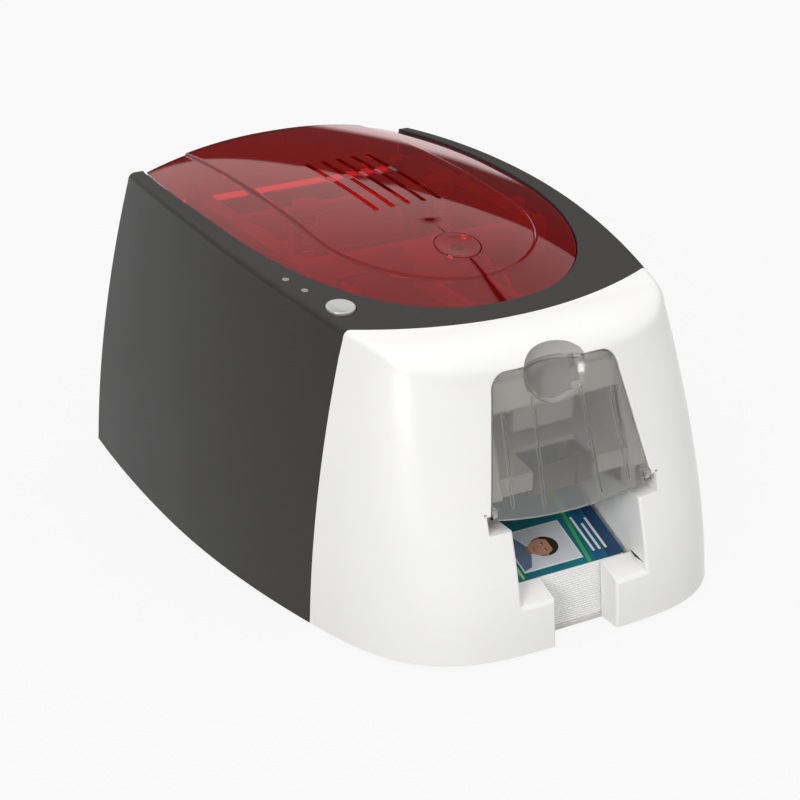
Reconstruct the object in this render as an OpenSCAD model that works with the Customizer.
// Desktop card printer: barrel-sided casing with a domed see-through lid, a feeder door
// over an open output hopper, and the printing mechanism between two side frames.
// Frame: x to the right, y to the back, z up; the origin is on the floor, mid-length.

/* [Casing] */
// Width over the sides at their widest, low down
body_w = 206; // [202:1:212]
// Length from the foot of the front to the rear wall
body_l = 270; // [266:1:276]
// Width across the top edges of the sides at their widest
top_w = 165; // [160:1:168]
// Height of the top edge of the sides at its highest
ridge_h = 132.8; // [131:0.2:136]
// Wall thickness of the casings
wall = 2.4; // [2:0.1:2.8]
// Length of the rounded nose
nose_len = 65; // [62:1:68]
// Radius of the edge between sides and top
ridge_r = 3.4; // [2.5:0.1:4]
// Gap along the seam between the two casings
seam_gap = 0.3; // [0.2:0.05:0.5]
// Height of the rubber feet
foot_h = 1.2; // [1:0.1:2]
// Diameter of the rubber feet
foot_d = 14; // [10:1:18]

/* [Lid] */
// Width of the lid at its widest
lid_w = 145.2; // [142:0.2:147]
// Thickness of the lid
lid_t = 2; // [1.6:0.1:2.4]
// Rise of the lid's dome above its edge
lid_crown = 9.8; // [8:0.2:11]
// Gap round the lid
lid_gap = 0.5; // [0.4:0.05:0.8]
// Height of the raised centre panel
panel_h = 0.8; // [0.5:0.1:1.2]
// Half width of the raised centre panel
panel_half = 48; // [46:0.5:50]
// Number of vent slots
slot_count = 5; // [3:1:7]
// Spacing of the vent slots
slot_pitch = 7.7; // [6:0.1:8.5]
// Width of a vent slot
slot_w = 2.4; // [1.6:0.1:3]
// Length of the vent slots
slot_len = 63; // [50:1:66]
// Diameter of the lid's release button
pad_d = 19.4; // [16:0.2:21]
// Diameter of the lid's hinge pins
lid_pin_d = 5; // [4:0.5:6]

/* [Feeder door and hopper] */
// Half width of the feeder door at its hinge
door_half = 37; // [36:0.2:37.4]
// Height of the feeder door's top edge
door_top = 109; // [106:0.5:110]
// Thickness of the feeder door
door_t = 1.8; // [1.5:0.1:2.2]
// Gap round the feeder door
door_gap = 0.5; // [0.4:0.1:0.8]
// Diameter of the feeder door's hinge pins
door_pin_d = 3; // [2.5:0.5:3.5]
// Radius of the finger scoop
scoop_r = 14; // [12:0.5:15]
// Half width of the hopper
hopper_half = 29.6; // [28.4:0.2:30]
// Half width of the finger notch
notch_half = 14.5; // [12:0.5:16]
// Height of the ledges beside the hopper
ledge_z = 51.3; // [50.5:0.1:52]
// Slope of the hopper floor
hopper_tilt = 22; // [20:0.5:23]

/* [Cards] */
// Width of a card
card_w = 53.98; // [53.9:0.01:54]
// Length of a card
card_l = 85.6; // [85.4:0.1:85.8]
// Thickness of a card
card_t = 0.76; // [0.6:0.02:0.8]
// Blank cards under the printed one
blank_count = 23; // [5:1:23]

/* [Mechanism] */
// Distance between the inner faces of the side frames
frame_gap = 72; // [71.5:0.1:73]
// Thickness of the side frames
frame_t = 2; // [1.5:0.1:2.5]
// Height of the card path
path_z = 84; // [83.5:0.1:85]
// Place of the platen along the printer
platen_y = 38; // [37.6:0.1:38.4]
// Diameter of the platen
platen_d = 16; // [15.6:0.1:16.4]
// Diameter of the roller shafts
shaft_d = 6; // [5:0.1:6.4]
// Diameter of the feed roller's tyres
feed_d = 12; // [11.5:0.1:12.6]
// Tooth size of the gears: pitch diameter over number of teeth
tooth = 1; // [1:0.1:1]
// Width of the gears
gear_w = 5; // [4:0.5:6]
// Radius of the full supply roll
supply_r = 14.5; // [10:0.5:16]
// Radius of the used ribbon roll
takeup_r = 9; // [7:0.5:10]
// Width of the ribbon
ribbon_w = 58; // [56:0.5:60]
// Coils of a print head spring
head_coils = 7; // [5:1:8]
// Wire of a print head spring
head_wire = 1.2; // [1:0.1:1.4]

/* [Hidden] */

// Colours
dark_plastic = [0.29, 0.285, 0.28];
white_plastic = [0.93, 0.93, 0.92];
red_clear = [0.62, 0.1, 0.1];
smoke_clear = [0.66, 0.66, 0.64];
grey_plastic = [0.62, 0.62, 0.6];
black_plastic = [0.13, 0.13, 0.13];
steel = [0.72, 0.73, 0.74];
rubber = [0.12, 0.12, 0.12];
nylon = [0.9, 0.89, 0.84];
board_green = [0.1, 0.35, 0.2];

// Fits
fit = 0.3;      // between separate pieces that do not touch
bore_fit = 0.06; // radial, of a running shaft
fine = 64;      // sides drawn on a round piece

// ---- Outline of the body ----
front_y = -body_l / 2;
rear_y = body_l / 2;
nose_y = front_y + nose_len;
belly_y = 40;          // where the sides are widest at the floor
brow_y = 35;           // where they are widest at the top
crest_y = 65;          // where their top edge is highest
belly_front_r = 490;
belly_rear_r = 893;
brow_front_r = 480;
brow_rear_r = 694;
ridge_r_side = 850;    // radius of the arch of the top edge
lean_share = 0.35;     // part of the lean that is straight, the rest is curved
nose_power = 4;        // squareness of the nose in plan
face_slope = 0.355;    // slope of the front above its knee
knee_z = 24;           // height of the knee in the front
knee_soft = 20;        // how gradually the knee bends
brim_r = 13;           // drop of the rounded brim at the middle of the front
brim_y = front_y + 54; // where the brim meets the top

function sq(v) = v * v;
function mix(a, b, t) = a + (b - a) * t;
function low_half(y) = body_w / 2 - sq(y - belly_y) / (2 * (y < belly_y ? belly_front_r : belly_rear_r));
function top_half(y) = top_w / 2 - sq(y - brow_y) / (2 * (y < brow_y ? brow_front_r : brow_rear_r));
function ridge_z(y) = ridge_h - sq(y - crest_y) / (2 * ridge_r_side);
function lean(t) = lean_share * t + (1 - lean_share) * t * t;
function knee(z) = face_slope * (sqrt(sq(z - knee_z) + sq(knee_soft)) + z - knee_z) / 2;
function face_y(z) = front_y + knee(z) - knee(0);

// One outline station is [share of half width, share of nose depth, y on the side]
nose_angles = [90, 84, 76, 66, 55, 44, 33, 22, 12, 4];
side_steps = 9;
function stations(inset) = concat(
    [for (a = nose_angles) [pow(cos(a), 2 / nose_power), pow(sin(a), 2 / nose_power), nose_y]],
    [for (i = [0:side_steps]) [1, 0, mix(nose_y, rear_y - inset, i / side_steps)]]
);

// A level is [share of the wall's height, angle round the edge]
levels = concat(
    [for (s = [0, 0.14, 0.28, 0.42, 0.56, 0.7, 0.82, 0.92, 1]) [s, 0]],
    [for (a = [22.5, 45, 67.5, 90]) [1, a]]
);

function edge_drop(st) = mix(ridge_r, brim_r, sq(st[1]));
function top_y(st) = st[2] - (nose_y - brim_y) * st[1];
function wall_z(st) = ridge_z(top_y(st)) - edge_drop(st);
function skin_z(st, lv) = lv[0] * wall_z(st) + edge_drop(st) * sin(lv[1]);
function skin_point(st, lv, inset, floor_z) =
    let (
        z = skin_z(st, lv),
        depth = nose_y - face_y(lv[0] * wall_z(st)),
        y = st[2] - mix(depth - inset, nose_y - brim_y - inset, 1 - cos(lv[1])) * st[1],
        half = mix(low_half(y), top_half(y), lean(lv[0])) - inset - ridge_r * (1 - cos(lv[1]))
    )
    [half * st[0], y, max(z - inset, 0) + (lv[0] == 0 ? floor_z : lv[1] > 0 || lv[0] == 1 ? 0 : inset)];

function mirrored(ring) = concat(ring, [for (i = [len(ring) - 1:-1:1]) [-ring[i][0], ring[i][1], ring[i][2]]]);
function skin_ring(lv, inset, floor_z) = mirrored([for (st = stations(inset)) skin_point(st, lv, inset, floor_z)]);

// The whole body as one solid, drawn in by inset
module body_solid(inset, floor_z) {
    rings = [for (lv = levels) skin_ring(lv, inset, floor_z)];
    n = len(rings[0]);
    half_n = len(stations(inset));
    last = (len(rings) - 1) * n;
    polyhedron(
        points = [for (r = rings) each r],
        faces = concat(
            [[for (i = [0:n - 1]) i]],
            [for (r = [0:len(rings) - 2]) for (i = [0:n - 1]) let (j = (i + 1) % n, a = r * n)
                each [[a + i, a + n + j, a + j], [a + i, a + n + i, a + n + j]]],
            [[last, last + n - 1, last + 1]],
            [for (i = [1:half_n - 2]) [last + i, last + n - i, last + n - i - 1, last + i + 1]]
        )
    );
}

// ---- Outline of the lid ----
lid_half = lid_w / 2;
lid_wide_y = 45;        // where the lid starts to narrow to the front
lid_tip_y = nose_y + 1; // tip of the lid
lid_power = 2.35;
lid_rear_y = rear_y - 0.4;
lid_rear_r = 434;
lid_sink = 1;           // the lid's edge below the top of the sides
swing_room = 0.09;      // how much less its opening narrows to the rear, so that the lid can swing
lid_undercut = 0.8;     // its lower edge is drawn in by this
crown_power = 2.2;
panel_tip = 54;         // length of the panel's rounded front
panel_round_y = 0;      // where it starts
lid_depth = lid_wide_y - lid_tip_y;

function oval(t, p) = pow(max(0, 1 - pow(t, p)), 1 / p);
function lid_edge(y, grow) =
    y < lid_wide_y ? (lid_half + grow) * oval(min(1, (lid_wide_y - y) / (lid_depth + grow)), lid_power)
    : lid_half + grow - sq(max(0, y - 60) * (grow > 0 ? 1 - swing_room : 1)) / (2 * lid_rear_r);
function lid_rise(y) = lid_crown * (y < lid_wide_y ? pow(max(0, 1 - pow((lid_wide_y - y) / lid_depth, 4)), 1.15) : 1);
function lid_z(x, y) = ridge_z(y) - lid_sink + lid_rise(y) * (1 - pow(min(1, abs(x) / max(1, lid_edge(y, 0))), crown_power));
function panel_edge(y) = y < panel_round_y ? panel_half * oval(min(1, (panel_round_y - y) / panel_tip), 2)
    : panel_half - 1.6 * sq(y / rear_y);

front_shares = [0.12, 0.24, 0.36, 0.47, 0.57, 0.66, 0.74, 0.81, 0.87, 0.92, 0.955, 0.98, 0.994, 0.9995];
lid_ys = concat([for (i = [0:5]) mix(lid_rear_y, lid_wide_y, i / 5)], [for (t = front_shares) lid_wide_y - lid_depth * t]);
panel_ys = concat([for (i = [0:6]) mix(lid_rear_y, panel_round_y, i / 6)],
    [for (t = [0.3, 0.55, 0.74, 0.87, 0.95, 0.99, 0.9995]) panel_round_y - panel_tip * t]);

// A slab between a top and a bottom surface over rows of points
function row_x(half, n) = [for (i = [0:n]) half * (2 * i / n - 1)];
module slab(top, bottom) {
    rows = len(top);
    n = len(top[0]);
    m = rows * n;
    faces = concat(
        [for (r = [0:rows - 2]) for (i = [0:n - 2]) let (a = r * n + i)
            each [[a, a + 1, a + n], [a + 1, a + n + 1, a + n], [m + a, m + a + n, m + a + 1], [m + a + 1, m + a + n, m + a + n + 1]]],
        [for (r = [0:rows - 2]) let (a = r * n, b = a + n - 1)
            each [[a, a + n, m + a], [a + n, m + a + n, m + a], [b, m + b, b + n], [b + n, m + b, m + b + n]]],
        [for (i = [0:n - 2]) let (a = i, b = m - n + i)
            each [[a, m + a, a + 1], [a + 1, m + a, m + a + 1], [b, b + 1, m + b], [b + 1, m + b + 1, m + b]]]
    );
    polyhedron(points = concat([for (r = top) each r], [for (r = bottom) each r]), faces = faces);
}

function lid_outline(grow) =
    let (right = [for (y = concat([rear_y + 20], lid_ys)) [lid_edge(y < lid_wide_y ? lid_wide_y - (lid_wide_y - y) * (lid_depth + grow) / lid_depth : y, grow),
        y < lid_wide_y ? lid_wide_y - (lid_wide_y - y) * (lid_depth + grow) / lid_depth : y]])
    concat(right, [for (i = [len(right) - 1:-1:0]) [-right[i][0], right[i][1]]]);

// ---- Shapes along one axis ----
module yz_prism(points, x0, x1) {
    translate([x0, 0, 0]) rotate([90, 0, 90]) linear_extrude(x1 - x0) polygon(points);
}
module xz_prism(points, y0, y1) {
    translate([0, y1, 0]) rotate([90, 0, 0]) linear_extrude(y1 - y0) polygon(points);
}
module x_rod(d, x0, x1, y, z) {
    translate([x0, y, z]) rotate([0, 90, 0]) cylinder(d = d, h = x1 - x0, $fn = fine);
}
module both_sides() {
    children();
    mirror([1, 0, 0]) children();
}
module block(x0, x1, y0, y1, z0, z1) {
    translate([x0, y0, z0]) cube([x1 - x0, y1 - y0, z1 - z0]);
}
function arc(cx, cy, r, a0, a1, n) = [for (i = [0:n]) let (a = mix(a0, a1, i / n)) [cx + r * cos(a), cy + r * sin(a)]];

// ---- Casings ----
seam_y = nose_y + 3.5;   // the seam on the sides, at the top
seam_foot = 4;           // how much further forward it is at the floor
seam_tip_y = brim_y;     // the seam at the middle of the top
seam_arc_r = 175;
tongue_z = ridge_h - 20.8; // the dark top reaches forward above this
far = 400;

module dark_region(grow) {
    yz_prism([[seam_y - seam_foot - grow, 0], [far, 0], [far, far], [seam_y - grow, far], [seam_y - grow, tongue_z]], -far, far);
    intersection() {
        translate([0, seam_tip_y - grow + seam_arc_r, tongue_z - grow]) cylinder(r = seam_arc_r, h = far, $fn = 256);
        block(-far, far, seam_tip_y - far, seam_y + 1, tongue_z - grow, far);
    }
}

collar_t = 1.6;
collar_z = ridge_h - 26.8;
lid_pivot_y = rear_y - 3.5;
lid_pivot_z = ridge_h - 20.3;
skirt_sweep = 3.4;       // room that the lid's rear skirt needs round its pivot

module collar() {
    difference() {
        translate([0, 0, collar_z]) linear_extrude(far) polygon(lid_outline(lid_gap + collar_t));
        translate([0, 0, -1]) linear_extrude(2 * far) polygon(lid_outline(lid_gap));
    }
}

button_x = -64;
button_y = -50.7;
button_d = 12;
button_flange_x = 5.2;
button_flange_y = 4.2;
button_fit = 0.3;
led_d = 3;
led_places = [[-72.6, -20.3], [-70.1, -32]];
function top_slope(y) = atan((crest_y - y) / ridge_r_side);
// A place on the flat top, upright on its slope
module on_top(x, y) {
    translate([x, y, ridge_z(y)]) rotate([top_slope(y), 0, 0]) children();
}
switch_drop = 7.2;       // top of the switch board below the casing's top
board_tilt = 6.5;
function switch_z(y) = ridge_z(button_y) + (y - button_y) * tan(board_tilt) - switch_drop;
switch_posts = [[-73.4, -25], [-62, -56.4]];
post_r = 2;
bracket_t = 3;
bracket_z = 15.6;        // top of the screw bosses on the base
main_bosses = [[80, rear_y - 65], [78, nose_y + 25]];
front_bosses = [[64, front_y + 29]];
boss_d = 9;
screw_d = 3;
head_d = 6;
head_h = 1.8;
panel_w = 112;           // of the connector panel
panel_top = 46;
panel_bottom = 12;

// Bracket from the side wall to a screw boss
module bracket(p) {
    block(p[0] - boss_d / 2, 150, p[1] - boss_d / 2, p[1] + boss_d / 2, bracket_z, bracket_z + bracket_t);
}

module main_casing() {
    color(dark_plastic) difference() {
        intersection() {
            body_solid(0, foot_h);
            dark_region(0);
        }
        difference() {
            body_solid(wall, -1);
            collar();
            both_sides() for (p = main_bosses) bracket(p);
            for (p = switch_posts) translate([p[0], p[1], switch_z(p[1] + post_r)]) cylinder(r = post_r, h = 40, $fn = 32);
        }
        both_sides() for (p = main_bosses) translate([p[0], p[1], 0]) cylinder(d = screw_d, h = 40, $fn = 32);
        translate([0, 0, lid_pivot_z - skirt_sweep - fit]) linear_extrude(far) polygon(lid_outline(lid_gap));
        // room for the control button and the lamps
        on_top(button_x, button_y) translate([0, 0, -5]) cylinder(d = button_d + 2 * button_fit, h = 10, $fn = fine);
        for (p = led_places) on_top(p[0], p[1]) translate([0, 0, -5]) cylinder(d = led_d + button_fit, h = 10, $fn = 32);
        // hinge pins
        both_sides() x_rod(lid_pin_d, lid_edge(rear_y, 0) - 8, lid_edge(rear_y, 0) + collar_t + 8, lid_pivot_y, lid_pivot_z);
        // connector panel
        block(-panel_w / 2, panel_w / 2, rear_y - 10, rear_y + 10, panel_bottom, panel_top);
    }
}

step_back_low = front_y + 10.2;   // rear face of the steps at the floor
step_back_high = front_y + 13.4;  // and at their top
step_z = 25.6;                    // top of the steps at their rear
block_out = hopper_half + 1.8;
ledge_out = 39.6;
ledge_t = 1.8;
ledge_back = front_y + 27;
wall_back = front_y + 55;
door_pivot_y = front_y + 15;
door_pivot_z = 58.6;
pin_seat = 1;                     // how deep the door's pins sit in the casing
door_low = 53.5;                  // lowest point of the door
door_taper = 0.185;
door_corner = 8;
scoop_z = 107.4;
scoop_depth = 6;
scoop_ball = (sq(scoop_r) + sq(scoop_depth)) / (2 * scoop_depth);
scoop_tilt = 17;
jamb = 2;
panel_back = 4.3;        // depth of the panel behind the door
feeder_half = card_w / 2 + 0.8;
feeder_wall = 2;
feed_window = feeder_half + feeder_wall + 0.3;
feed_window_top = 93.5;

function door_edge(z) = door_half - door_taper * (z - door_pivot_z);
function door_outline(grow, low) =
    let (
        top = door_top + grow,
        rx = door_edge(top - door_corner) + grow - door_corner,
        right = concat([[door_edge(low) + grow, low]], arc(rx, top - door_corner, door_corner, 0, 90, 8))
    )
    concat(right, [for (i = [len(right) - 1:-1:0]) [-right[i][0], right[i][1]]]);

function step_top(y) = step_z + tan(hopper_tilt) * (y - step_back_high);

module scoop_ball_at(r) {
    translate([0, face_y(scoop_z), scoop_z]) rotate([-scoop_tilt, 0, 0])
        translate([0, scoop_depth - scoop_ball, 0]) sphere(r = r, $fn = 64);
}

module front_blocks() {
    both_sides() {
        // steps that stop the cards
        yz_prism([[front_y - 2, -2], [step_back_low, -2], [step_back_high, step_z], [step_back_high, step_z + 6], [front_y - 2, step_z + 6]],
            notch_half, block_out);
        // hopper walls
        block(hopper_half, block_out, front_y - 2, front_y + 17, foot_h, ledge_z);
        block(hopper_half, block_out, front_y + 10, wall_back, foot_h + 3, ledge_z);
        // ledges and the walls beside them
        block(hopper_half, ledge_out + ledge_t, front_y - 2, ledge_back, ledge_z - ledge_t, ledge_z);
        block(ledge_out, ledge_out + ledge_t, front_y - 2, ledge_back - 4, ledge_z - ledge_t, door_pivot_z + 3.5);
    }
    // lining of the door's opening
    intersection() {
        xz_prism(door_outline(door_gap + jamb, door_pivot_z - 1), front_y - 2, front_y + 40);
        block(-far, far, front_y - 2, door_pivot_y + 7, door_pivot_z - 1, far);
    }
    // panel behind the door, open where the cards go in
    difference() {
        intersection() {
            body_solid(panel_back, 0);
            xz_prism(door_outline(door_gap + jamb, door_pivot_z + 2.9), front_y - 2, front_y + 45);
        }
        body_solid(panel_back + jamb, 0);
        block(-feed_window, feed_window, front_y - 5, front_y + 60, 0, feed_window_top);
        // room for the scoop's lower half
        translate([0, front_y + 60, scoop_z]) rotate([90, 0, 0]) cylinder(r = scoop_r - 1.4, h = 80, $fn = fine);
    }
    // thicker wall behind the scoop
    intersection() {
        scoop_ball_at(scoop_ball + 2.2);
        block(-far, far, -far, far, scoop_z - 2, far);
    }
}

module front_cuts() {
    // finger notch
    block(-notch_half, notch_half, front_y - 5, step_back_high + 3, -5, ledge_z);
    // hopper mouth above the sloping steps
    yz_prism([[front_y - 5, step_top(front_y - 5)], [step_back_high + 3, step_top(step_back_high + 3)],
        [step_back_high + 3, ledge_z], [front_y - 5, ledge_z]], -hopper_half, hopper_half);
    block(-hopper_half, hopper_half, step_back_high, wall_back + 5, foot_h - 5, ledge_z + 1);
    // over the ledges
    block(-ledge_out, ledge_out, front_y - 5, ledge_back + 5, ledge_z, door_pivot_z);
    // door opening
    xz_prism(door_outline(door_gap, door_pivot_z - 2), front_y - 5, front_y + 45);
    scoop_ball_at(scoop_ball);
    both_sides() x_rod(door_pin_d, door_half - 3, ledge_out + pin_seat, door_pivot_y, door_pivot_z);
}

module front_casing() {
    color(white_plastic) difference() {
        intersection() {
            body_solid(0, foot_h);
            difference() {
                block(-far, far, -far, far, -far, far);
                dark_region(seam_gap);
            }
        }
        difference() {
            body_solid(wall, -1);
            front_blocks();
            both_sides() for (p = front_bosses) bracket(p);
        }
        both_sides() for (p = front_bosses) translate([p[0], p[1], 0]) cylinder(d = screw_d, h = 40, $fn = 32);
        front_cuts();
    }
}

// ---- Base ----
tab_l = 9;               // foot tabs of the side frames
tab_places = [[frame_gap / 2 + frame_t + 5, -54], [frame_gap / 2 + frame_t + 5, 88]];
base_z = foot_h;
base_t = 2.4;
deck_z = base_z + base_t;
frame_in = frame_gap / 2;
frame_out = frame_in + frame_t;
foot_places = [[78, rear_y - 39], [62, front_y + 43]];
boss_places = concat(main_bosses, front_bosses);
board_bosses = [[46, rear_y - 30], [46, rear_y - 10.5]];
board_z = 12.9;
board_t = 1.6;

function base_outline() = [for (p = skin_ring([0, 0], wall + 2 * fit, 0)) [p[0], p[1]]];

module base_tray() {
    color(black_plastic) difference() {
        union() {
            translate([0, 0, base_z]) linear_extrude(base_t) polygon(base_outline());
            both_sides() for (p = boss_places)
                translate([p[0], p[1], base_z]) cylinder(d = boss_d, h = bracket_z - base_z, $fn = fine);
            both_sides() for (p = board_bosses)
                translate([p[0], p[1], base_z]) cylinder(d = 6, h = board_z - base_z, $fn = fine);
        }
        // gap for the hopper between the steps
        block(-block_out - fit, block_out + fit, front_y, front_y + 17.5, 0, deck_z + 1);
        both_sides() for (p = boss_places) {
            translate([p[0], p[1], 0]) cylinder(d = screw_d + 0.2, h = 30, $fn = 32);
            translate([p[0], p[1], 0]) cylinder(d = head_d + 0.4, h = base_z + head_h, $fn = 32);
        }
        both_sides() for (p = board_bosses) translate([p[0], p[1], board_z - 8]) cylinder(d = screw_d, h = 20, $fn = 32);
        both_sides() for (p = tab_places) translate([p[0], p[1], 0]) cylinder(d = screw_d, h = 20, $fn = 32);
        // slots for cooling air
        both_sides() for (i = [0:5]) block(44, 70, -20 + 9 * i, -17 + 9 * i, 0, deck_z + 1);
    }
}

module rubber_feet() {
    color(rubber) both_sides() for (p = foot_places)
        translate([p[0], p[1], 0]) cylinder(d = foot_d, h = foot_h, $fn = fine);
}

// ---- Sockets on the back ----
panel_t = 2;
usb_w = 12;
usb_h = 10.9;
usb_x = -32;
jack_x = 28;
jack_w = 12;
socket_z = board_z + board_t + usb_h / 2;
board_half = 50;
board_y0 = rear_y - 35;
board_y1 = rear_y - 5.5;

module connector_panel() {
    color(black_plastic) difference() {
        union() {
            block(-panel_w / 2 + fit, panel_w / 2 - fit, rear_y - 1 - panel_t, rear_y - 1, panel_bottom + fit, panel_top - fit);
            // lip inside the rear wall, down to the base
            block(-panel_w / 2 + 3, panel_w / 2 - 3, rear_y - wall - fit - 2, rear_y - wall - fit, deck_z, panel_bottom + 2);
        }
        block(usb_x - usb_w / 2 - fit, usb_x + usb_w / 2 + fit, rear_y - 10, rear_y + 1, socket_z - usb_h / 2 - fit, socket_z + usb_h / 2 + fit);
        block(jack_x - jack_w / 2 - fit, jack_x + jack_w / 2 + fit, rear_y - 10, rear_y + 1, socket_z - usb_h / 2 - fit, socket_z + usb_h / 2 + fit);
        for (i = [0:9]) block(-43 + 9 * i, -38 + 9 * i, rear_y - 10, rear_y + 1, 32, 42);
    }
}

module usb_socket() {
    color(steel) difference() {
        block(usb_x - usb_w / 2, usb_x + usb_w / 2, rear_y - 18, rear_y - 1.5, socket_z - usb_h / 2, socket_z + usb_h / 2);
        xz_prism([[usb_x - 4.2, socket_z - 3.8], [usb_x + 4.2, socket_z - 3.8], [usb_x + 4.2, socket_z + 2],
            [usb_x + 2.6, socket_z + 4], [usb_x - 2.6, socket_z + 4], [usb_x - 4.2, socket_z + 2]], rear_y - 11, rear_y);
    }
}

module power_socket() {
    color(black_plastic) difference() {
        block(jack_x - jack_w / 2, jack_x + jack_w / 2, rear_y - 16, rear_y - 1.5, socket_z - usb_h / 2, socket_z + usb_h / 2);
        translate([jack_x, rear_y, socket_z]) rotate([90, 0, 0]) cylinder(d = 6.4, h = 11, $fn = fine);
    }
    color(steel) translate([jack_x, rear_y - 3, socket_z]) rotate([90, 0, 0]) cylinder(d = 2, h = 8.4, $fn = 32);
}

module mainboard() {
    color(board_green) difference() {
        union() {
            block(-board_half, board_half, board_y0, board_y1, board_z, board_z + board_t);
            // chips and capacitors
            block(-14, 0, board_y0 + 3, board_y0 + 17, board_z + board_t, board_z + board_t + 1.8);
            block(8, 16, board_y0 + 4, board_y0 + 12, board_z + board_t, board_z + board_t + 1.5);
            for (x = [jack_x + 2, jack_x + 11]) translate([x, board_y0 + 8, board_z + board_t]) cylinder(d = 8, h = 11, $fn = 32);
        }
        both_sides() for (p = board_bosses) translate([p[0], p[1], 0]) cylinder(d = screw_d, h = 30, $fn = 32);
    }
}

// ---- Mechanism frame ----
platen_r = platen_d / 2;
axle_z = path_z - platen_r;
gear_n = 20;              // platen, drive and feed gears, and the idler
relay_n = 34;
pinion_n = 12;
gear_r = gear_n * tooth / 2;
relay_r = relay_n * tooth / 2;
pinion_r = pinion_n * tooth / 2;
drive_y = platen_y - 30;
drive_r = platen_r;
feed_y = drive_y - 2 * relay_r - 2 * gear_r;
feed_z = axle_z;
idler_at = circles_meet([drive_y, axle_z], 2 * gear_r, [platen_y, axle_z], 2 * gear_r);
relay_at = [(drive_y + feed_y) / 2, axle_z];
pinion_at = [idler_at[0], idler_at[1] - gear_r - pinion_r];
clean_at = [-20, path_z + card_t + 6.1];
clean_r = 6;
supply_at = [80, 104];
takeup_at = [2, 104];
takeup_n = 24;
ribbon_idler_n = 30;
takeup_gear_r = takeup_n * tooth / 2;
ribbon_idler_r = ribbon_idler_n * tooth / 2;
ribbon_pinion_at = [-16, 60];
ribbon_idler_at = circles_meet(ribbon_pinion_at, pinion_r + ribbon_idler_r, takeup_at, takeup_gear_r + ribbon_idler_r);
gear_x = frame_out + 1.5; // inner face of the gears
bush_d = 10;
bush_l = 3;
flange_d = 13;
flange_t = 1;
stud_d = 4;
spool_d = 6;
spool_fit = 0.15;

// The lower of the two points at r1 from p1 and r2 from p2
function circles_meet(p1, r1, p2, r2) =
    let (d = p2 - p1, l = norm(d), a = (sq(l) + sq(r1) - sq(r2)) / (2 * l), h = sqrt(max(0, sq(r1) - sq(a))))
    p1 + a * d / l + h * [d[1], -d[0]] / l;

// Turn of a gear so that it meshes with a neighbour that lies back along angle a
function mesh_turn(n, a, n0, turn0) = a + 180 - 360 / n * (0.5 - (a - turn0) * n0 / 360);
function angle_of(from, to) = atan2(to[1] - from[1], to[0] - from[0]);

pressure = 20;
backlash = 0.16;
addendum = 0.8;
dedendum = 1.1;
function involute(a) = tan(a) * 180 / PI - a;
function flank(n, r) = 90 / n - backlash / 2 / (n * tooth / 2) * 180 / PI / 2 + involute(pressure)
    - involute(acos(min(1, n * tooth / 2 * cos(pressure) / r)));
function tooth_points(n) =
    let (r = n * tooth / 2, root = r - dedendum * tooth, tip = r + addendum * tooth, base = max(root, r * cos(pressure)))
    [[root, -flank(n, base)], [r, -flank(n, r)], [tip, -flank(n, tip)], [tip, flank(n, tip)], [r, flank(n, r)], [root, flank(n, base)]];
module gear(n, at, turn, side, bore, hub) {
    x0 = side > 0 ? gear_x : -gear_x - gear_w;
    translate([0, at[0], at[1]]) difference() {
        union() {
            yz_prism([for (i = [0:n - 1]) for (p = tooth_points(n)) let (a = turn + 360 * i / n + p[1]) [p[0] * cos(a), p[0] * sin(a)]],
                x0, x0 + gear_w);
            x_rod(hub, side > 0 ? x0 : x0 - 2, side > 0 ? x0 + gear_w + 2 : x0 + gear_w, 0, 0);
        }
        x_rod(bore, x0 - 5, x0 + gear_w + 5, 0, 0);
    }
}

platen_turn = 0;
idler_turn = mesh_turn(gear_n, angle_of([platen_y, axle_z], idler_at), gear_n, platen_turn);
drive_turn = mesh_turn(gear_n, angle_of(idler_at, [drive_y, axle_z]), gear_n, idler_turn);
relay_turn = mesh_turn(relay_n, angle_of([drive_y, axle_z], relay_at), gear_n, drive_turn);
feed_turn = mesh_turn(gear_n, angle_of(relay_at, [feed_y, feed_z]), relay_n, relay_turn);
pinion_turn = mesh_turn(pinion_n, angle_of(idler_at, pinion_at), gear_n, idler_turn);
ribbon_idler_turn = mesh_turn(ribbon_idler_n, angle_of(takeup_at, ribbon_idler_at), takeup_n, 0);
ribbon_pinion_turn = mesh_turn(pinion_n, angle_of(ribbon_idler_at, ribbon_pinion_at), ribbon_idler_n, ribbon_idler_turn);

motor_fit = 0.2;
motor_bore = 12;   // clearance hole in the frame for a motor's boss

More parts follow.
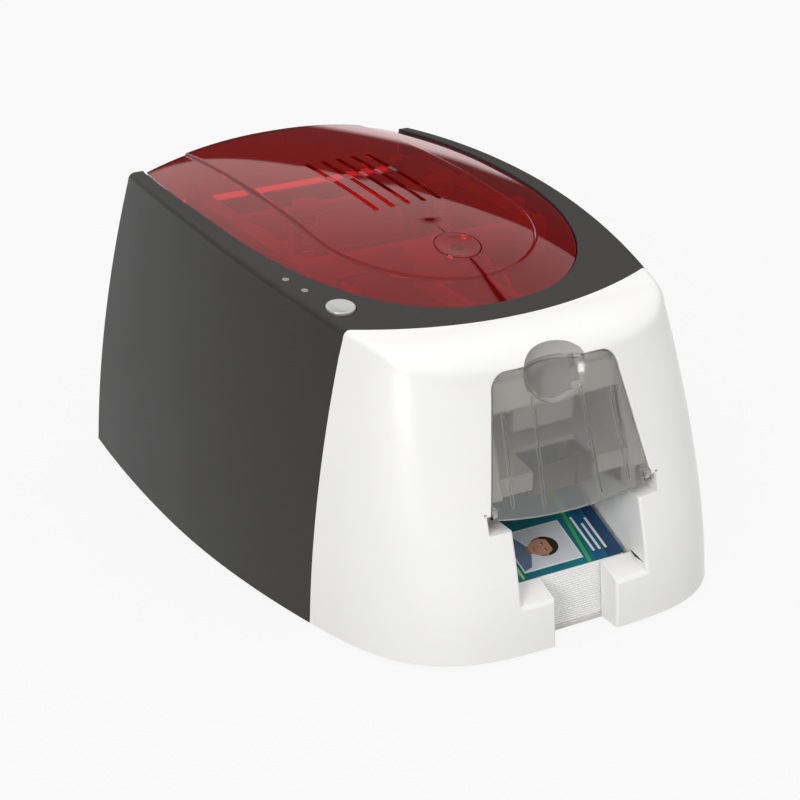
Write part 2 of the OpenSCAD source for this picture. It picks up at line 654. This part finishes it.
module side_frame(side) {
    x0 = side > 0 ? frame_in : -frame_out;
    color(steel) difference() {
        union() {
            yz_prism([[-62, deck_z], [98, deck_z], [98, 70], [92, 108], [68, 108], [60, 93], [22, 93], [16, 108], [-10, 108],
                [-16, 102], [-30, 101], [-62, 92]], x0, x0 + frame_t);
            for (p = tab_places) block(side > 0 ? frame_in : -frame_out - tab_l, side > 0 ? frame_out + tab_l : -frame_in,
                p[1] - 5, p[1] + 5, deck_z, deck_z + frame_t);
        }
        for (p = tab_places) translate([side * p[0], p[1], 0]) cylinder(d = screw_d, h = 20, $fn = 32);
        for (p = [[platen_y, axle_z], [drive_y, axle_z], [feed_y, feed_z], clean_at])
            x_rod(bush_d, x0 - 1, x0 + frame_t + 1, p[0], p[1]);
        // open slots that the spools drop into
        for (p = [supply_at, takeup_at]) {
            x_rod(spool_d + 2 * spool_fit, x0 - 1, x0 + frame_t + 1, p[0], p[1]);
            block(x0 - 1, x0 + frame_t + 1, p[0] - spool_d / 2 - spool_fit, p[0] + spool_d / 2 + spool_fit, p[1], 130);
        }
        if (side > 0) x_rod(motor_bore, x0 - 1, x0 + frame_t + 1, pinion_at[0], pinion_at[1]);
        else x_rod(motor_bore, x0 - 1, x0 + frame_t + 1, ribbon_pinion_at[0], ribbon_pinion_at[1]);
    }
}
module left_side_frame() { side_frame(-1); }
module right_side_frame() { side_frame(1); }

ribbon_bar_y = [24, 54];
ribbon_z = path_z + card_t + 0.3;  // underside of the ribbon over the platen
film_t = 0.2;
bar_d = 4;
tie_d = 5;
tie_places = [[-54, 20], [90, 16], [90, 74]];
module tie_bars() {
    color(steel) {
        for (p = tie_places) x_rod(tie_d, -frame_in, frame_in, p[0], p[1]);
        for (y = ribbon_bar_y) x_rod(bar_d, -frame_in, frame_in, y, bar_z);
    }
}

module gear_studs() {
    color(steel) {
        for (p = [idler_at, relay_at]) {
            x_rod(stud_d, frame_out, gear_x + gear_w + 3, p[0], p[1]);
            x_rod(stud_d + 3, gear_x + gear_w + 2.3, gear_x + gear_w + 3.3, p[0], p[1]);
        }
        x_rod(stud_d, -gear_x - gear_w - 3, -frame_out, ribbon_idler_at[0], ribbon_idler_at[1]);
        x_rod(stud_d + 3, -gear_x - gear_w - 3.3, -gear_x - gear_w - 2.3, ribbon_idler_at[0], ribbon_idler_at[1]);
    }
}

module shaft_bushes() {
    color([0.75, 0.6, 0.3]) both_sides() for (p = [[platen_y, axle_z], [drive_y, axle_z], [feed_y, feed_z], clean_at]) difference() {
        union() {
            x_rod(bush_d - 0.04, frame_in - flange_t, frame_out + 0.4, p[0], p[1]);
            x_rod(flange_d, frame_in - flange_t, frame_in, p[0], p[1]);
        }
        x_rod(shaft_d + 2 * bore_fit, frame_in - 3, frame_out + 3, p[0], p[1]);
    }
}

sleeve_half = card_w / 2 + 1;
tyre_gap = 0;
module roller_shaft(at, geared) {
    color(steel) x_rod(shaft_d, -frame_out - 1, geared ? gear_x + gear_w + 3 : frame_out + 1, at[0], at[1]);
}
module sleeve(d, x0, x1, at) {
    difference() {
        x_rod(d, x0, x1, at[0], at[1]);
        x_rod(shaft_d, x0 - 1, x1 + 1, at[0], at[1]);
    }
}
module platen_shaft() { roller_shaft([platen_y, axle_z], true); }
module platen_sleeve() { color(rubber) sleeve(platen_d, -sleeve_half, sleeve_half, [platen_y, axle_z]); }
module platen_gear() { color(nylon) gear(gear_n, [platen_y, axle_z], platen_turn, 1, shaft_d, 11); }
module drive_shaft() { roller_shaft([drive_y, axle_z], true); }
module drive_tyres() { color(rubber) for (x = [-22, 8]) sleeve(2 * drive_r, x, x + 14, [drive_y, axle_z]); }
module drive_gear() { color(nylon) gear(gear_n, [drive_y, axle_z], drive_turn, 1, shaft_d, 11); }
module feed_shaft() { roller_shaft([feed_y, feed_z], true); }
module feed_tyres() { color(rubber) for (x = [-17, 7]) sleeve(feed_d, x, x + 10, [feed_y, feed_z]); }
module feed_gear() { color(nylon) gear(gear_n, [feed_y, feed_z], feed_turn, 1, shaft_d, 11); }
module relay_gear() { color(nylon) gear(relay_n, relay_at, relay_turn, 1, stud_d + 2 * bore_fit, 9); }
module idler_gear() { color(nylon) gear(gear_n, idler_at, idler_turn, 1, stud_d + 2 * bore_fit, 9); }
module motor_pinion() { color([0.75, 0.6, 0.3]) gear(pinion_n, pinion_at, pinion_turn, 1, 4, 7); }
module cleaning_core() { color(steel) x_rod(shaft_d, -frame_out - 1, frame_out + 1, clean_at[0], clean_at[1]); }
module cleaning_sleeve() { color([0.2, 0.35, 0.6]) sleeve(2 * clean_r, -sleeve_half, sleeve_half, clean_at); }

motor_w = 39;
motor_l = 33;
module transport_motor() {
    y = pinion_at[0];
    z = pinion_at[1];
    color(black_plastic) difference() {
        block(frame_in - motor_l, frame_in, y - motor_w / 2, y + motor_w / 2, z - motor_w / 2, z + motor_w / 2);
        for (a = [-1, 1]) for (b = [-1, 1]) translate([0, y + a * motor_w / 2, z + b * motor_w / 2]) rotate([45, 0, 0])
            block(frame_in - motor_l - 1, frame_in - motor_l + 26, -3, 3, -3, 3);
    }
    color(steel) x_rod(motor_bore - 2 * motor_fit, frame_in, frame_out, y, z);
    color(steel) x_rod(4, frame_out, gear_x - 0.3, y, z);
}
ribbon_motor_d = 24;
module ribbon_motor() {
    color(steel) {
        x_rod(ribbon_motor_d, -frame_in, -frame_in + 30, ribbon_pinion_at[0], ribbon_pinion_at[1]);
        x_rod(motor_bore - 2 * motor_fit, -frame_out, -frame_in, ribbon_pinion_at[0], ribbon_pinion_at[1]);
        x_rod(4, -gear_x + 0.3, -frame_out, ribbon_pinion_at[0], ribbon_pinion_at[1]);
    }
}

// ---- Ribbon ----
core_d = 11;
spool_end = frame_in - 0.6;
module spool(at, side) {
    difference() {
        union() {
            x_rod(core_d, -spool_end + 1, spool_end - 1, at[0], at[1]);
            both_sides() x_rod(16, spool_end - 2.5, spool_end, at[0], at[1]);
            x_rod(spool_d, side == 0 ? -frame_out - 1 : -gear_x - gear_w - 3, frame_out + 1, at[0], at[1]);
        }
    }
}
module supply_core() { color(nylon) spool(supply_at, 0); }
module takeup_core() { color(nylon) spool(takeup_at, -1); }
module roll(r, at) {
    difference() {
        x_rod(2 * r, -ribbon_w / 2, ribbon_w / 2, at[0], at[1]);
        x_rod(core_d, -ribbon_w, ribbon_w, at[0], at[1]);
    }
}
module supply_roll() { color([0.75, 0.65, 0.15]) roll(supply_r, supply_at); }
module takeup_roll() { color([0.35, 0.15, 0.3]) roll(takeup_r, takeup_at); }
module takeup_gear() { color(nylon) gear(takeup_n, takeup_at, 0, -1, spool_d, 10); }
module ribbon_idler() { color(nylon) gear(ribbon_idler_n, ribbon_idler_at, ribbon_idler_turn, -1, stud_d + 2 * bore_fit, 9); }
module ribbon_pinion() { color([0.75, 0.6, 0.3]) gear(pinion_n, ribbon_pinion_at, ribbon_pinion_turn, -1, 4, 7); }

// The ribbon runs from roll to roll under the two bars, each leg at a tangent to its bar
bar_z = ribbon_z + film_t + 0.05 + bar_d / 2;
function bar_turn(bar, end, side) = angle_of(bar, end) + side * acos((bar_d / 2 + 0.05) / norm(end - bar));
function film_end(bar, end, side, r) = let (a = bar_turn(bar, end, side))
    bar + r * [cos(a), sin(a)] + side * norm(end - bar) * [sin(a), -cos(a)];
function film_path(r) =
    let (
        b0 = [ribbon_bar_y[0], bar_z],
        b1 = [ribbon_bar_y[1], bar_z],
        e0 = [takeup_at[0] + takeup_r + 0.8, takeup_at[1] - 1],
        e1 = [supply_at[0] - supply_r - 0.8, supply_at[1] - 1]
    )
    concat([film_end(b0, e0, 1, r)], arc(b0[0], b0[1], r, bar_turn(b0, e0, 1), 270, 4),
        arc(b1[0], b1[1], r, 270, 360 + bar_turn(b1, e1, -1), 4), [film_end(b1, e1, -1, r)]);
module ribbon_film() {
    inner = film_path(bar_d / 2 + 0.05);
    outer = film_path(bar_d / 2 + 0.05 + film_t);
    color([0.7, 0.6, 0.1]) yz_prism(concat(outer, [for (i = [len(inner) - 1:-1:0]) inner[i]]), -ribbon_w / 2, ribbon_w / 2);
}

// ---- Card path ----
guide_t = 1;
guide_z = path_z - 0.6;
module card_guide() {
    color(grey_plastic) difference() {
        block(-frame_in + fit, frame_in - fit, -34, 118, guide_z - guide_t, guide_z);
        block(-sleeve_half - 1, sleeve_half + 1, platen_y - platen_r - 0.5, platen_y + platen_r + 0.5, 0, 200);
        block(-sleeve_half - 1, sleeve_half + 1, drive_y - drive_r - 0.5, drive_y + drive_r + 0.5, 0, 200);
    }
}

hopper_pitch = (step_z - 0.6 - 3) / blank_count;
hopper_floor_z = 2.6;
hopper_floor_y = step_back_low + 0.4;
hopper_floor_t = 1.4;
hopper_back = -38;
function hopper_z(y) = hopper_floor_z + tan(hopper_tilt) * (y - hopper_floor_y);
drop = hopper_floor_t / cos(hopper_tilt);
module hopper_tray() {
    color(grey_plastic) {
        yz_prism([[hopper_floor_y, hopper_floor_z], [hopper_back, hopper_z(hopper_back)],
            [hopper_back, hopper_z(hopper_back) - drop], [hopper_floor_y, hopper_floor_z - drop]], -hopper_half + fit, hopper_half - fit);
        both_sides() yz_prism([[-104, deck_z], [-62, deck_z], [-62, hopper_z(-62) - drop / 2], [-104, hopper_z(-104) - drop / 2]], 18, 20);
    }
}

feeder_tilt = 10;
feeder_y0 = front_y + 20;
feeder_y1 = -34.5;
feeder_z0 = 69.2;
apron_z = 61.5;          // lower edge of the tray's front
gate_y = feeder_y0 + 16.5;
gate_half = 14;
gate_z = feeder_z0 + 10;
function feeder_z(y) = feeder_z0 + tan(feeder_tilt) * (y - feeder_y0);
module feeder_tray() {
    color(grey_plastic) difference() {
        union() {
            // floor
            yz_prism([[feeder_y0, feeder_z0], [feeder_y1, feeder_z(feeder_y1)], [feeder_y1, feeder_z(feeder_y1) - 2], [feeder_y0, feeder_z0 - 2]],
                -feeder_half - feeder_wall, feeder_half + feeder_wall);
            // walls
            both_sides() yz_prism([[feeder_y0 + 3, feeder_z0 - 1], [feeder_y1, feeder_z(feeder_y1) - 1], [feeder_y1, feeder_z(feeder_y1) + 22],
                [feeder_y0 + 12, feeder_z0 + 24]], feeder_half, feeder_half + feeder_wall);
            // front edge under the cards
            both_sides() block(15, feeder_half + feeder_wall, feeder_y0, feeder_y0 + 2, apron_z, feeder_z0);
            // plate that holds the stack back, on a bar between the walls
            block(-gate_half, gate_half, gate_y, gate_y + 2, gate_z, feed_window_top);
            block(-feeder_half - 1, feeder_half + 1, gate_y, gate_y + 2, feed_window_top - 5, feed_window_top - 0.5);
            // shelves beside the cards and legs on the ledges
            both_sides() block(feeder_half, frame_in - fit, feeder_y0 + 3.9, feeder_y0 + 14, feeder_z0 - 2, feeder_z0 + 3);
            both_sides() block(hopper_half + 2.4, frame_in - fit, feeder_y0 + 2, ledge_back - 0.5, ledge_z + 0.05, feeder_z0 - 1);
            // lugs against the side frames
            both_sides() block(feeder_half, frame_in - fit, -62, -54, feeder_z(-58), feeder_z(-58) + 5);
        }
        // windows for the feed roller's tyres
        for (x = [-17, 7]) block(x - 1, x + 11, feed_y - feed_d / 2 - 1, feed_y + feed_d / 2 + 1, 40, 120);
        // finger recess at the front
        block(-15, 15, feeder_y0 - 1, feeder_y0 + 16, feeder_z0 - 5, feeder_z0 + 12);
    }
}

function card_outline() = let (r = 3.18, a = card_w / 2 - r, b = card_l - r) concat(
    arc(a, b, r, 0, 90, 4), arc(-a, b, r, 90, 180, 4), arc(-a, r, r, 180, 270, 4), arc(a, r, r, 270, 360, 4));
function step_face(z) = mix(step_back_low, step_back_high, (z + 2) / (step_z + 2));
function card_z(i) = 3 + i * hopper_pitch;
function card_y(i) = step_face(card_z(i) + card_t) + card_t * sin(hopper_tilt) + 0.15;
module card(i) {
    translate([0, card_y(i), card_z(i)]) rotate([hopper_tilt, 0, 0]) linear_extrude(card_t) polygon(card_outline());
}
module printed_card() { color([0.05, 0.4, 0.5]) card(blank_count); }
module blank_cards() { color("white") for (i = [0:blank_count - 1]) card(i); }

// ---- Feeder door ----
door_rib = 1.2;
door_rib_h = 2;
rib_places = [[13, 56.1, 97], [27, 58.7, 94]];
module feeder_door() {
    color(smoke_clear) difference() {
        union() {
            difference() {
                intersection() {
                    difference() {
                        body_solid(0.2, 0);
                        body_solid(0.2 + door_t, 0);
                    }
                    union() {
                        xz_prism(door_outline(0, door_pivot_z), front_y - 5, front_y + 45);
                        xz_prism(concat([[-door_half, door_pivot_z + 0.01]], [for (i = [0:12]) let (u = 2 * i / 12 - 1)
                            [u * door_half, mix(door_low, door_pivot_z - 2, sq(u))]], [[door_half, door_pivot_z + 0.01]]), front_y - 5, front_y + 45);
                    }
                }
                // the top edge dips at the scoop
                block(-scoop_r, scoop_r, front_y - 5, front_y + 60, scoop_z, scoop_z + 20);
                scoop_ball_at(scoop_ball);
            }
            // lower half of the scoop
            difference() {
                intersection() {
                    scoop_ball_at(scoop_ball + 1.4);
                    body_solid(0.2, 0);
                    block(-far, far, -far, far, -far, scoop_z);
                }
                scoop_ball_at(scoop_ball);
            }
            // ribs on the inside
            both_sides() for (p = rib_places) hull() {
                for (z = [p[1], p[2]]) translate([p[0] - (z - door_pivot_z) * 0.05, face_y(z) + door_t - 0.2, z])
                    rotate([-90, 0, 0]) cylinder(d = door_rib, h = door_rib_h, $fn = 16);
            }
            // ears for the pins
            both_sides() x_rod(5, door_half - 3, door_half, door_pivot_y, door_pivot_z);
        }
        both_sides() x_rod(door_pin_d + 2 * bore_fit, door_half - 2.2, door_half + 1, door_pivot_y, door_pivot_z);
    }
}
module door_pins() {
    color(steel) both_sides() x_rod(door_pin_d, door_half - 2, ledge_out + pin_seat, door_pivot_y, door_pivot_z);
}

// ---- Lid ----
pad_y = -33;
pad_tilt = 14;
pad_travel = 2;
pad_depth = 3;
stem_d = 6;
function lid_under(x, y) = lid_z(x, y) - lid_t;
module pad_frame() {
    translate([0, pad_y, lid_z(0, pad_y) + panel_h]) rotate([pad_tilt, 0, 0]) children();
}
slot_back = 71;
module lid_shell() {
    rear_arch = [for (i = [0:20]) let (x = (lid_edge(lid_rear_y, 0) - 0.4) * (1 - 2 * i / 20)) [x, lid_z(x, lid_rear_y) - lid_t * 0.75]];
    color(red_clear) difference() {
        union() {
            slab([for (y = lid_ys) [for (x = row_x(lid_edge(y, 0), 14)) [x, y, lid_z(x, y)]]],
                [for (y = lid_ys) [for (x = row_x(max(lid_edge(y, 0) - lid_undercut, lid_edge(y, 0) / 2), 14)) [x, y, lid_z(x, y) - lid_t]]]);
            slab([for (y = panel_ys) [for (x = row_x(panel_edge(y), 10)) [x, y, lid_z(x, y) + panel_h]]],
                [for (y = panel_ys) [for (x = row_x(panel_edge(y), 10)) [x, y, lid_z(x, y) - lid_t / 2]]]);
            // rear skirt
            xz_prism(concat(rear_arch, [[-lid_edge(lid_rear_y, 0) + 0.4, lid_pivot_z], [lid_edge(lid_rear_y, 0) - 0.4, lid_pivot_z]]),
                lid_rear_y - lid_t, lid_rear_y - 0.05);
            // hinge ears
            both_sides() {
                x_rod(6, lid_edge(lid_rear_y, 0) - 6, lid_edge(lid_rear_y, 0), lid_pivot_y, lid_pivot_z);
                block(lid_edge(lid_rear_y, 0) - 6, lid_edge(lid_rear_y, 0), lid_pivot_y - 3, lid_rear_y - 1, lid_pivot_z, lid_pivot_z + 6);
            }
        }
        both_sides() x_rod(lid_pin_d - 1 + 2 * bore_fit, lid_edge(lid_rear_y, 0) - 9, lid_edge(lid_rear_y, 0) + 5, lid_pivot_y, lid_pivot_z);
        for (i = [0:slot_count - 1]) let (x = (i - (slot_count - 1) / 2) * slot_pitch) {
            translate([0, 0, 120]) linear_extrude(40) polygon(concat(arc(x, slot_back, slot_w / 2, 0, 180, 8),
                arc(x, slot_back - slot_len, slot_w / 2, 180, 360, 8)));
        }
        pad_frame() translate([0, 0, -12]) cylinder(d = pad_d + 0.8, h = 20, $fn = fine);
    }
}

module lid_hinge_pins() {
    color(steel) both_sides() {
        x_rod(lid_pin_d - 1, lid_edge(lid_rear_y, 0) - 6, lid_edge(rear_y, 0) + collar_t + 0.4, lid_pivot_y, lid_pivot_z);
        x_rod(lid_pin_d, lid_edge(rear_y, 0) + lid_gap + 0.05, lid_edge(rear_y, 0) + lid_gap + collar_t, lid_pivot_y, lid_pivot_z);
    }
}

rail_in = 52;
rail_out = 60;
rail_z = ridge_h - 20.8;
rail_top = ridge_h - 6.8;
cross_z = ridge_h - 10.8;
cross_top = ridge_h - 5.8;
guide_in = 9;            // sides of the latch's guide
guide_out = 12;
latch_z = ridge_h - 16.8;
latch_t = 2;
latch_half = 8.5;
latch_low = collar_z - 2.2;
guide_depth = 13;        // lower face of the button's guide below the pad
guide_top = 9;
module lid_frame() {
    color(grey_plastic) difference() {
        union() {
            both_sides() {
                block(rail_in, rail_out, -8, 104, rail_z, rail_top);
                // bosses up to the lid
                for (y = [10, 92]) translate([56, y, rail_z]) cylinder(d = 7, h = lid_under(59.5, y) - 0.2 - rail_z, $fn = 32);
                // latch guide
                block(guide_in, guide_out, -62, -18, latch_z - 3, latch_z + latch_t + 1);
                block(guide_in - 3, guide_out, -62, -46, latch_z - 3, latch_z - 0.2);
            }
            block(-rail_out, rail_out, 56, 62, cross_z, cross_top);
            yz_prism([[-8, rail_z + 2], [-8, cross_z], [-18, cross_z], [-18, latch_z - 3], [-24, latch_z - 3], [-24, latch_z + latch_t + 1],
                [-19, cross_top], [-2, cross_top], [-2, rail_z + 2]], -guide_out, guide_out);
            block(-rail_out, rail_out, -8, -2, cross_z - 3.5, cross_top);
            // guide for the release button's stem
            intersection() {
                pad_frame() translate([0, 0, -guide_depth]) cylinder(d = 13, h = guide_depth - guide_top, $fn = 32);
                block(-10, 10, -60, 0, latch_z + latch_t + 1, 140);
            }
            block(-guide_out, guide_out, -27, -18, latch_z + latch_t + 1, cross_z + 2.5);
        }
        pad_frame() translate([0, 0, -30]) cylinder(d = stem_d + 0.6, h = 40, $fn = 32);
        // room for the latch plate
        block(-latch_half - 0.3, latch_half + 0.3, -70, -15, latch_z - 0.2, latch_z + latch_t + 0.3);
        block(-guide_in + 3, guide_in - 3, -70, -20, 90, latch_z + 1);
    }
}

spring_x = 32.9;
spring_y = 37.6;
cap_d = 13;
cap_top = lid_under(spring_x + cap_d / 2, spring_y) - 0.25;
cap_t = 2;
post_d = 5;
lug_d = 13;
carriage_z = 96;
carriage_top = 110;
head_travel = 2;
ring_t = 1.2;
module spring_posts() {
    color(nylon) both_sides() translate([spring_x, spring_y, 0]) {
        translate([0, 0, cap_top - cap_t]) cylinder(d = cap_d, h = cap_t, $fn = fine);
        translate([0, 0, carriage_z - ring_t - 0.2]) cylinder(d = post_d, h = cap_top - carriage_z, $fn = 32);
        translate([0, 0, carriage_z - ring_t - 0.2]) cylinder(d = 8, h = ring_t, $fn = 32);
    }
}

carriage_half = 29;
module head_carriage() {
    color(black_plastic) difference() {
        union() {
            block(-carriage_half, carriage_half, spring_y - 7, spring_y + 8, carriage_z, carriage_top);
            both_sides() translate([spring_x, spring_y, carriage_z]) cylinder(d = lug_d, h = carriage_top - carriage_z, $fn = fine);
        }
        both_sides() translate([spring_x, spring_y, 90]) cylinder(d = post_d + 0.3, h = 30, $fn = 32);
        // pocket above the print head
        block(-22, 22, spring_y - 4.5, spring_y + 5.5, carriage_z + 4, carriage_top + 1);
    }
}

head_low = ribbon_z + film_t + 0.1;
module print_head() {
    color(steel) {
        difference() {
            block(-carriage_half + 1, carriage_half - 1, spring_y - 6.5, spring_y + 7.5, 89, carriage_z);
            for (i = [0:5]) block(-25 + 9 * i, -20 + 9 * i, spring_y - 8, spring_y - 4, 90.5, carriage_z + 1);
        }
        block(-carriage_half + 1, carriage_half - 1, spring_y - 2, spring_y + 2.8, head_low, 89);
    }
}

// One unbroken wire: rings of six points along an even helix
coil_sides = 6;
coil_rings = 8;
function coil_height(t, free, wire) = wire * 0.55 + (free - wire * 1.1) * t;
module coil(outer_d, wire, coils, free) {
    steps = coils * coil_rings;
    r = (outer_d - wire) / 2;
    rings = [for (i = [0:steps]) let (a = 360 * i / coil_rings, z = coil_height(i / steps, free, wire))
        [for (k = [0:coil_sides - 1]) let (b = 360 * k / coil_sides, q = r + wire / 2 * cos(b)) [q * cos(a), q * sin(a), z + wire / 2 * sin(b)]]];
    last = steps * coil_sides;
    // least gap of the wire to itself, measured between the points of rings one turn apart
    gaps = [for (i = [0:steps - coil_rings]) for (k = [0:coil_sides - 1]) for (m = [0:coil_sides - 1])
        norm(rings[i + coil_rings][k] - rings[i][m])];
    echo("least gap of the coil to itself", min(gaps));
    polyhedron(
        points = [for (g = rings) each g],
        faces = concat(
            [[for (k = [0:coil_sides - 1]) k]],
            [for (i = [0:steps - 1]) for (k = [0:coil_sides - 1]) let (a = i * coil_sides + k, b = i * coil_sides + (k + 1) % coil_sides)
                each [[a, a + coil_sides, b], [b, a + coil_sides, b + coil_sides]]],
            [[for (k = [coil_sides - 1:-1:0]) last + k]]
        )
    );
}
spring_d = 12.4;
module head_spring(side) {
    free = cap_top - cap_t - carriage_top;
    color(steel) translate([side * spring_x, spring_y, carriage_top]) coil(spring_d, head_wire, head_coils, free);
}
module head_spring_left() { head_spring(-1); }
module head_spring_right() { head_spring(1); }

module release_button() {
    color(red_clear) pad_frame() {
        difference() {
            translate([0, 0, -pad_depth]) cylinder(d = pad_d, h = pad_depth, $fn = fine);
            // dished top
            translate([0, 0, 59.4]) sphere(r = 60, $fn = 96);
        }
        translate([0, 0, -pad_depth - 12]) cylinder(d = stem_d, h = 12.5, $fn = 32);
    }
}
pad_wire = 0.9;
pad_coils = 3;
module release_spring() {
    color(steel) pad_frame() translate([0, 0, -guide_top]) coil(10, pad_wire, pad_coils, guide_top - pad_depth);
}

latch_nose = lid_tip_y - lid_gap + 0.25;
module lid_latch() {
    color(black_plastic) difference() {
        union() {
            block(-latch_half, latch_half, latch_nose + 2, -24, latch_z, latch_z + latch_t);
            block(-latch_half, latch_half, latch_nose + 2, latch_nose + 4, latch_low, latch_z + 1);
            yz_prism([[latch_nose + 3, latch_low], [latch_nose + 3, latch_low + 3.4], [latch_nose, latch_low + 1.9], [latch_nose, latch_low + 1.2]],
                -latch_half, latch_half);
        }
        block(-4.5, 4.5, -38, -26, latch_z - 1, latch_z + latch_t + 1);
    }
}

// ---- Control button and lamps ----
button_rise = 1;
button_travel = 0.6;
button_flange = 14.6;
module control_button() {
    color([0.75, 0.76, 0.78]) on_top(button_x, button_y) difference() {
        union() {
            translate([0, 0, -3.4]) cylinder(d = button_d, h = 3.4 + button_rise, $fn = fine);
            // flange under the casing, cut straight beside the rounded edge and the seam
            intersection() {
                translate([0, 0, -3.9]) cylinder(d = button_flange, h = 1.2, $fn = fine);
                translate([-button_flange_x, -button_flange_y, -10]) cube([20, 20, 20]);
            }
        }
        translate([0, 0, 30 + button_rise - 0.5]) sphere(r = 30, $fn = 96);
    }
}
module led_lenses() {
    color("white") for (p = led_places) on_top(p[0], p[1]) {
        translate([0, 0, -3.9]) cylinder(d = led_d, h = 3.9, $fn = 32);
        translate([0, 0, -4]) cylinder(d = led_d + 1.6, h = 1.1, $fn = 32);
    }
}
module switch_board() {
    color(board_green) translate([0, 0, switch_z(0)]) rotate([board_tilt, 0, 0]) translate([0, 0, -1.4]) linear_extrude(1.4)
        polygon([[-57.5, -58], [-70.5, -58], [-76, -14], [-69, -14], [-67, -38], [-58, -45]]);
    color(black_plastic) on_top(button_x, button_y) {
        translate([-3, -3, -switch_drop - 0.4]) cube([6, 6, 2.2]);
        translate([0, 0, -switch_drop + 1]) cylinder(d = 3.4, h = 1.6, $fn = 32);
    }
}

// ---- Screws ----
module screw(l) {
    cylinder(d = screw_d, h = l + 0.01, $fn = 32);
    translate([0, 0, l]) difference() {
        cylinder(d = head_d, h = head_h, $fn = 32);
        translate([-2, -0.4, head_h - 0.8]) cube([4, 0.8, 2]);
        translate([-0.4, -2, head_h - 0.8]) cube([0.8, 4, 2]);
    }
}
module casing_screws() {
    color(steel) both_sides() for (p = boss_places) translate([p[0], p[1], base_z + head_h]) rotate([180, 0, 0])
        translate([0, 0, -(bracket_z + bracket_t - base_z - head_h)]) screw(bracket_z + bracket_t - base_z - head_h);
}
module frame_screws() {
    color(steel) {
        both_sides() for (p = tab_places) translate([p[0], p[1], base_z + 0.2]) screw(deck_z + frame_t - base_z - 0.2);
        both_sides() for (p = board_bosses) translate([p[0], p[1], board_z - 7]) screw(7 + board_t);
    }
}

main_casing();
front_casing();
base_tray();
rubber_feet();
connector_panel();
lid_shell();
lid_frame();
spring_posts();
lid_hinge_pins();
release_button();
release_spring();
lid_latch();
head_carriage();
print_head();
head_spring_left();
head_spring_right();
feeder_door();
door_pins();
control_button();
led_lenses();
left_side_frame();
right_side_frame();
tie_bars();
hopper_tray();
feeder_tray();
card_guide();
mainboard();
usb_socket();
power_socket();
transport_motor();
ribbon_motor();
platen_shaft();
platen_sleeve();
platen_gear();
drive_shaft();
drive_tyres();
drive_gear();
feed_shaft();
feed_tyres();
feed_gear();
relay_gear();
idler_gear();
motor_pinion();
cleaning_core();
cleaning_sleeve();
gear_studs();
shaft_bushes();
supply_core();
supply_roll();
takeup_core();
takeup_roll();
takeup_gear();
ribbon_idler();
ribbon_pinion();
ribbon_film();
printed_card();
blank_cards();
casing_screws();
frame_screws();
switch_board();
